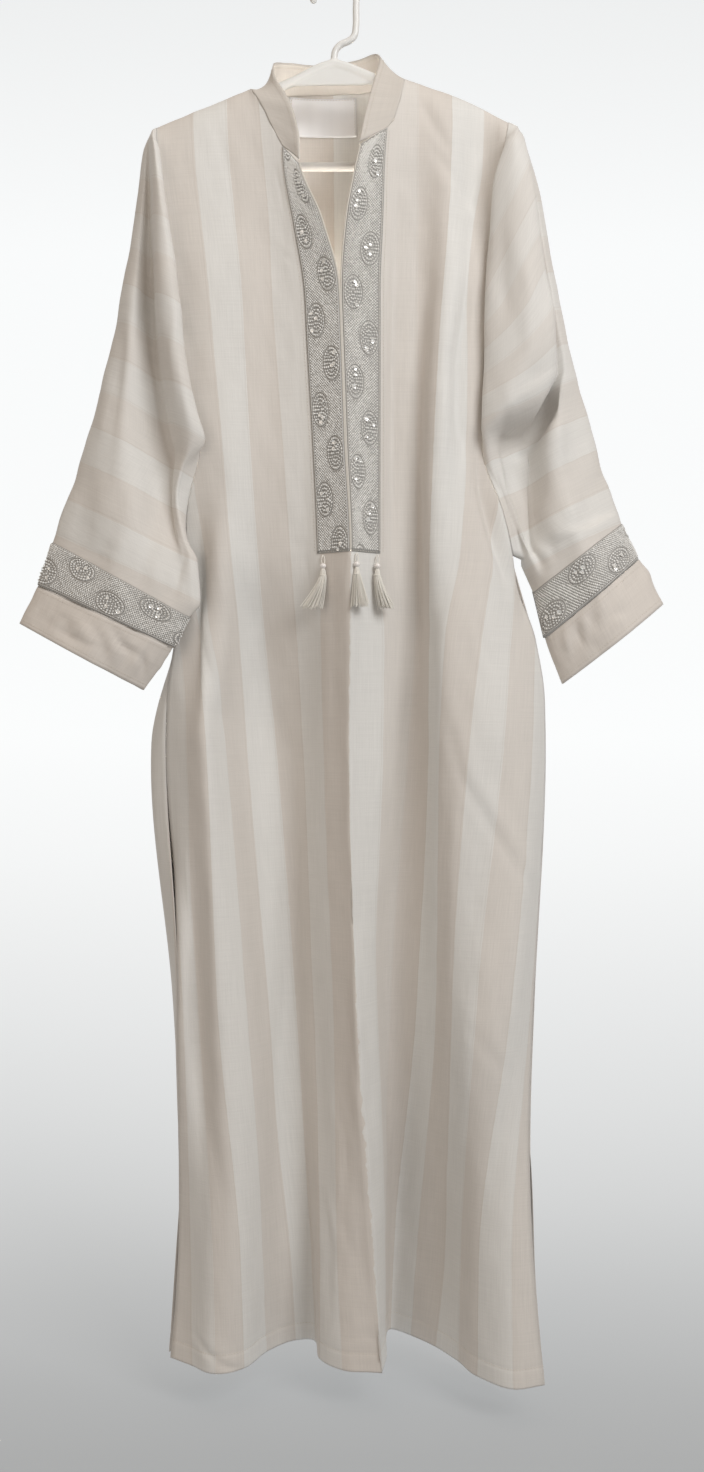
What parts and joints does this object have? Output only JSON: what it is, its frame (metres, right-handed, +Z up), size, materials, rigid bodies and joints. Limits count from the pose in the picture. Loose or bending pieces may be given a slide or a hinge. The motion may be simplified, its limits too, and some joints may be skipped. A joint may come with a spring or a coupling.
{
  "type": "jebba on a hanger",
  "caption": "Long loose gown of striped woven cloth with wide sleeves, a slit neck edged with embroidered ribbon and tassels, hung on a plastic hanger.",
  "frame": {"origin": "inner top of the hanger's hook, where it rests on a rail", "axes": "+Z up, the front of the gown faces -Y, X runs along the shoulders"},
  "size_m": [0.7079, 0.1746, 1.5429],
  "materials": {
    "front_chest_left": "woven stripes of off-white and beige, soft sheen",
    "front_chest_right": "woven stripes of off-white and beige, soft sheen",
    "front_skirt": "woven stripes of off-white and beige, soft sheen",
    "front_hem": "woven stripes of off-white and beige, soft sheen",
    "back_chest": "woven stripes of off-white and beige, soft sheen",
    "back_skirt": "woven stripes of off-white and beige, soft sheen",
    "back_hem": "woven stripes of off-white and beige, soft sheen",
    "sleeve_left_upper": "woven stripes of off-white and beige, soft sheen",
    "sleeve_left_lower": "woven stripes of off-white and beige, soft sheen",
    "sleeve_right_upper": "woven stripes of off-white and beige, soft sheen",
    "sleeve_right_lower": "woven stripes of off-white and beige, soft sheen",
    "cuff_left": "plain beige weave",
    "cuff_right": "plain beige weave",
    "collar": "plain beige weave",
    "trim_neck_left": "silver-grey embroidered ribbon with sequins and beads",
    "trim_neck_right": "silver-grey embroidered ribbon with sequins and beads",
    "trim_cuff_left": "silver-grey embroidered ribbon with sequins and beads",
    "trim_cuff_right": "silver-grey embroidered ribbon with sequins and beads",
    "label": "blank white satin",
    "tassel_left": "off-white thread",
    "tassel_middle": "off-white thread",
    "tassel_right": "off-white thread",
    "bead_left": "pearly",
    "bead_middle": "pearly",
    "bead_right": "pearly",
    "hanger": "white moulding",
    "hanger_bar": "white moulding"
  },
  "bodies": {
    "root": {"front_chest_left": "front_chest_left", "front_chest_right": "front_chest_right", "front_skirt": "front_skirt", "front_hem": "front_hem", "back_chest": "back_chest", "back_skirt": "back_skirt", "back_hem": "back_hem", "sleeve_left_upper": "sleeve_left_upper", "sleeve_left_lower": "sleeve_left_lower", "sleeve_right_upper": "sleeve_right_upper", "sleeve_right_lower": "sleeve_right_lower", "cuff_left": "cuff_left", "cuff_right": "cuff_right", "collar": "collar", "trim_neck_left": "trim_neck_left", "trim_neck_right": "trim_neck_right", "trim_cuff_left": "trim_cuff_left", "trim_cuff_right": "trim_cuff_right", "label": "label", "tassel_left": "tassel_left", "tassel_middle": "tassel_middle", "tassel_right": "tassel_right", "bead_left": "bead_left", "bead_middle": "bead_middle", "bead_right": "bead_right", "hanger": "hanger", "hanger_bar": "hanger_bar"}
  },
  "joints": []
}
